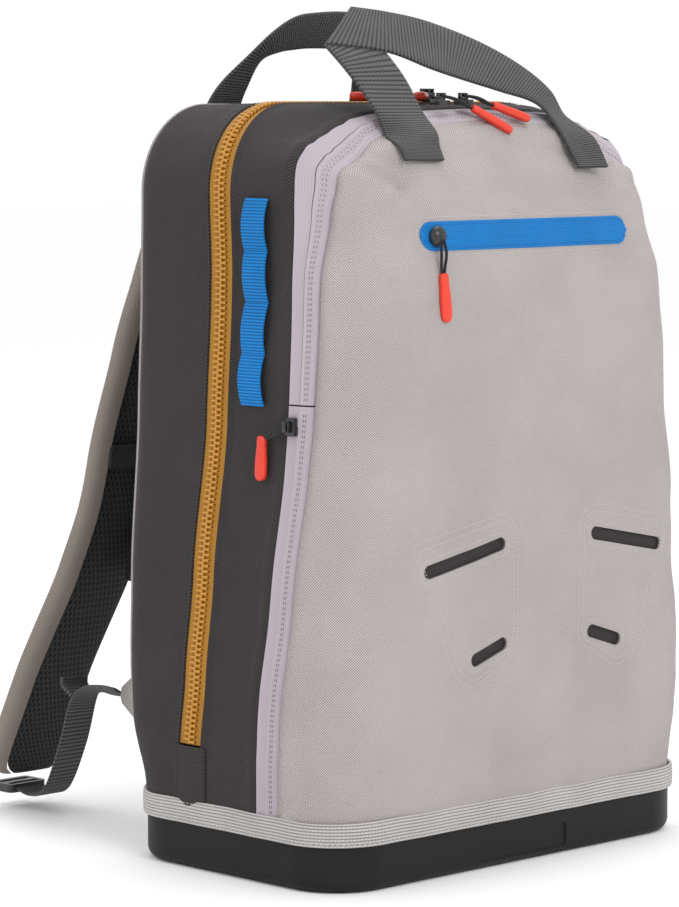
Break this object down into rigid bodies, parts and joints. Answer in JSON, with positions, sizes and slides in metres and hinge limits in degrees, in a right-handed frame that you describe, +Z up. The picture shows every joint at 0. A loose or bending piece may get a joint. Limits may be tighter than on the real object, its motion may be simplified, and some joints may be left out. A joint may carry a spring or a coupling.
{
  "type": "tackle backpack",
  "caption": "Zipped fabric tackle backpack on a hollow moulded base, with carry handles, padded shoulder straps, a clamshell main opening and a fold-down front flap.",
  "frame": {"origin": "centre of the moulded base's flat underside, on the floor", "axes": "+Z up, the front of the pack faces -Y, +X to the right of someone looking at the front"},
  "size_m": [0.3632, 0.4213, 0.5805],
  "materials": {
    "moulded_base": "matt moulded EVA",
    "binding": "ribbed grosgrain tape",
    "foam_board": "closed-cell foam board",
    "light_fabric": "laminated woven polyester, light warm grey",
    "dark_fabric": "charcoal twill polyester",
    "stiffener": "polyethylene sheet",
    "air_mesh": "open spacer mesh",
    "gold_tape": "woven zipper tape",
    "gold_teeth": "moulded zipper teeth",
    "light_tape": "woven zipper tape",
    "blue_webbing": "ribbed blue webbing",
    "blue_tape": "coated zipper tape",
    "dark_webbing": "ribbed dark grey webbing",
    "strap_fabric": "grey-tan twill",
    "black_plastic": "moulded acetal",
    "slider_metal": "black lacquered zinc",
    "red_grip": "soft red moulded grip on black cord",
    "piping": "light piping"
  },
  "bodies": {
    "pack": {"base_tub": "moulded_base", "base_binding": "binding", "floor_board": "foam_board", "back_panel": "dark_fabric", "frame_sheet": "stiffener", "back_pads": "air_mesh", "lumbar_pad": "air_mesh", "yoke_panel": "dark_fabric", "back_piping": "piping", "wings": "light_fabric", "rear_gusset": "dark_fabric", "lower_gussets": "dark_fabric", "lower_front_panel": "light_fabric", "main_zip_tape_rear": "gold_tape", "main_zip_teeth_rear": "gold_teeth", "zip_garages": "dark_fabric"},
    "front_section": {"front_gusset": "dark_fabric", "main_zip_tape_front": "gold_tape", "main_zip_teeth_front": "gold_teeth", "divider_panel": "dark_fabric", "mesh_pocket": "air_mesh", "front_panel": "light_fabric", "side_zip_tapes": "light_tape", "front_zip_tape_rear": "light_tape", "side_webbing_loops": "blue_webbing", "lash_backings": "dark_fabric"},
    "front_flap": {"flap_panel": "light_fabric", "front_zip_tape_front": "light_tape", "pocket_zip_tape": "blue_tape", "pocket_bag": "dark_fabric"},
    "front_handle": {"front_handle": "dark_webbing"},
    "rear_handle": {"rear_handle": "dark_webbing"},
    "shoulder_strap_left": {"strap_cover_left": "strap_fabric", "strap_mesh_left": "air_mesh", "strap_webbing_left": "dark_webbing"},
    "ladder_lock_left": {"ladder_lock_left": "black_plastic"},
    "chest_strap_left": {"chest_strap_left": "dark_webbing", "chest_buckle_socket": "black_plastic"},
    "shoulder_strap_right": {"strap_cover_right": "strap_fabric", "strap_mesh_right": "air_mesh", "strap_webbing_right": "dark_webbing"},
    "ladder_lock_right": {"ladder_lock_right": "black_plastic"},
    "chest_strap_right": {"chest_strap_right": "dark_webbing", "chest_buckle_plug": "black_plastic"},
    "main_slider_left": {"main_slider_left": "slider_metal"},
    "main_pull_left": {"main_pull_left": "red_grip"},
    "front_slider_left": {"front_slider_left": "slider_metal"},
    "front_pull_left": {"front_pull_left": "red_grip"},
    "side_slider_left": {"side_slider_left": "slider_metal"},
    "side_pull_left": {"side_pull_left": "red_grip"},
    "main_slider_right": {"main_slider_right": "slider_metal"},
    "main_pull_right": {"main_pull_right": "red_grip"},
    "front_slider_right": {"front_slider_right": "slider_metal"},
    "front_pull_right": {"front_pull_right": "red_grip"},
    "side_slider_right": {"side_slider_right": "slider_metal"},
    "side_pull_right": {"side_pull_right": "red_grip"},
    "pocket_slider": {"pocket_slider": "slider_metal"},
    "pocket_pull": {"pocket_pull": "red_grip"}
  },
  "joints": [
    {"name": "front_section_open", "type": "hinge", "parent": "pack", "child": "front_section", "pos_m": [0, -0.1076, 0.08515], "axis": [1, 0, 0], "range_deg": [0, 40]},
    {"name": "front_flap_open", "type": "hinge", "parent": "front_section", "child": "front_flap", "pos_m": [0, -0.1076, 0.31615], "axis": [1, 0, 0], "range_deg": [0, 60]},
    {"name": "front_handle_fold", "type": "hinge", "parent": "front_flap", "child": "front_handle", "pos_m": [0, -0.0871, 0.4655], "axis": [1, 0, 0], "range_deg": [0, 140]},
    {"name": "rear_handle_fold", "type": "hinge", "parent": "pack", "child": "rear_handle", "pos_m": [0, 0.1062, 0.5], "axis": [-1, 0, 0], "range_deg": [0, 70]},
    {"name": "strap_swing_left", "type": "hinge", "parent": "pack", "child": "shoulder_strap_left", "pos_m": [0, 0.1073, 0.485], "axis": [1, 0, 0], "range_deg": [0, 14]},
    {"name": "ladder_lock_tilt_left", "type": "hinge", "parent": "shoulder_strap_left", "child": "ladder_lock_left", "pos_m": [-0.111, 0.294, 0.019], "axis": [1, 0, 0], "range_deg": [-15, 15]},
    {"name": "chest_strap_height_left", "type": "slide", "parent": "shoulder_strap_left", "child": "chest_strap_left", "axis": [0, -0.1881, 0.9822], "range_m": [-0.012, 0.04]},
    {"name": "strap_swing_right", "type": "hinge", "parent": "pack", "child": "shoulder_strap_right", "pos_m": [0, 0.1073, 0.485], "axis": [1, 0, 0], "range_deg": [0, 14]},
    {"name": "ladder_lock_tilt_right", "type": "hinge", "parent": "shoulder_strap_right", "child": "ladder_lock_right", "pos_m": [0.111, 0.294, 0.019], "axis": [1, 0, 0], "range_deg": [-15, 15]},
    {"name": "chest_strap_height_right", "type": "slide", "parent": "shoulder_strap_right", "child": "chest_strap_right", "axis": [0, -0.1881, 0.9822], "range_m": [-0.012, 0.04]},
    {"name": "main_slider_left_travel", "type": "slide", "parent": "front_section", "child": "main_slider_left", "axis": [-1, 0, 0], "range_m": [0, 0.075]},
    {"name": "main_pull_left_swing", "type": "hinge", "parent": "main_slider_left", "child": "main_pull_left", "pos_m": [0.014, 0.024, 0.518], "axis": [0.2425, 0.9701, 0], "range_deg": [0, 75]},
    {"name": "front_slider_left_travel", "type": "slide", "parent": "front_flap", "child": "front_slider_left", "axis": [-1, 0, 0], "range_m": [0, 0.016]},
    {"name": "front_pull_left_swing", "type": "hinge", "parent": "front_slider_left", "child": "front_pull_left", "pos_m": [-0.033, -0.057, 0.5149], "axis": [-0.3697, -0.9292, 0], "range_deg": [0, 100]},
    {"name": "side_slider_left_travel", "type": "slide", "parent": "front_section", "child": "side_slider_left", "axis": [-0.0579, 0, -0.9983], "range_m": [0, 0.18]},
    {"name": "side_pull_left_swing", "type": "hinge", "parent": "side_slider_left", "child": "side_pull_left", "pos_m": [-0.17513, -0.057, 0.302], "axis": [0, 0.8575, 0.5145], "range_deg": [0, 120]},
    {"name": "main_slider_right_travel", "type": "slide", "parent": "front_section", "child": "main_slider_right", "axis": [1, 0, 0], "range_m": [0, 0.058]},
    {"name": "main_pull_right_swing", "type": "hinge", "parent": "main_slider_right", "child": "main_pull_right", "pos_m": [0.038, 0.024, 0.518], "axis": [-0.6, 0.8, 0], "range_deg": [0, 30]},
    {"name": "front_slider_right_travel", "type": "slide", "parent": "front_flap", "child": "front_slider_right", "axis": [1, 0, 0], "range_m": [0, 0.012]},
    {"name": "front_pull_right_swing", "type": "hinge", "parent": "front_slider_right", "child": "front_pull_right", "pos_m": [-0.011, -0.057, 0.5149], "axis": [-0.2545, -0.9671, 0], "range_deg": [0, 100]},
    {"name": "side_slider_right_travel", "type": "slide", "parent": "front_section", "child": "side_slider_right", "axis": [0.0579, 0, -0.9983], "range_m": [0, 0.18]},
    {"name": "side_pull_right_swing", "type": "hinge", "parent": "side_slider_right", "child": "side_pull_right", "pos_m": [0.17513, -0.057, 0.302], "axis": [0, -0.8575, -0.5145], "range_deg": [0, 120]},
    {"name": "pocket_slider_travel", "type": "slide", "parent": "front_flap", "child": "pocket_slider", "axis": [1, 0, 0], "range_m": [0, 0.178]},
    {"name": "pocket_pull_swing", "type": "hinge", "parent": "pocket_slider", "child": "pocket_pull", "pos_m": [-0.089, -0.11301, 0.424], "axis": [-0.9929, 0, -0.1191], "range_deg": [0, 90]}
  ]
}
